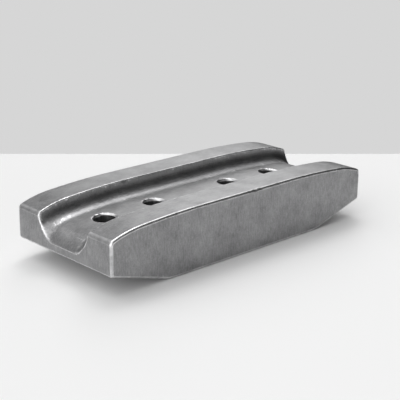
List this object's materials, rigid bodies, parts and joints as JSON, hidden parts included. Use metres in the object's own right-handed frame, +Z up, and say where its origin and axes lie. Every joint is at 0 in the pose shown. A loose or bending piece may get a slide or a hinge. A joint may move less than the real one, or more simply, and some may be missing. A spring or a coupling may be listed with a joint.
{
  "type": "excavator track shoe",
  "caption": "Forged steel track shoe with a crowned top, a filleted trough along its length that rolls down at both ends, bevelled ends and bolt holes along the trough.",
  "frame": {"origin": "on the underside, at the middle of the length and of the width", "axes": "+X along the shoe's length, +Y across it, +Z up from the underside through the bolt holes to the crown"},
  "size_m": [0.45, 0.19, 0.0846],
  "materials": {
    "forged_steel": "plain forged grey steel, fine vertical grain on the sides, edges worn bright"
  },
  "bodies": {
    "root": {"track_shoe": "forged_steel"}
  },
  "joints": []
}
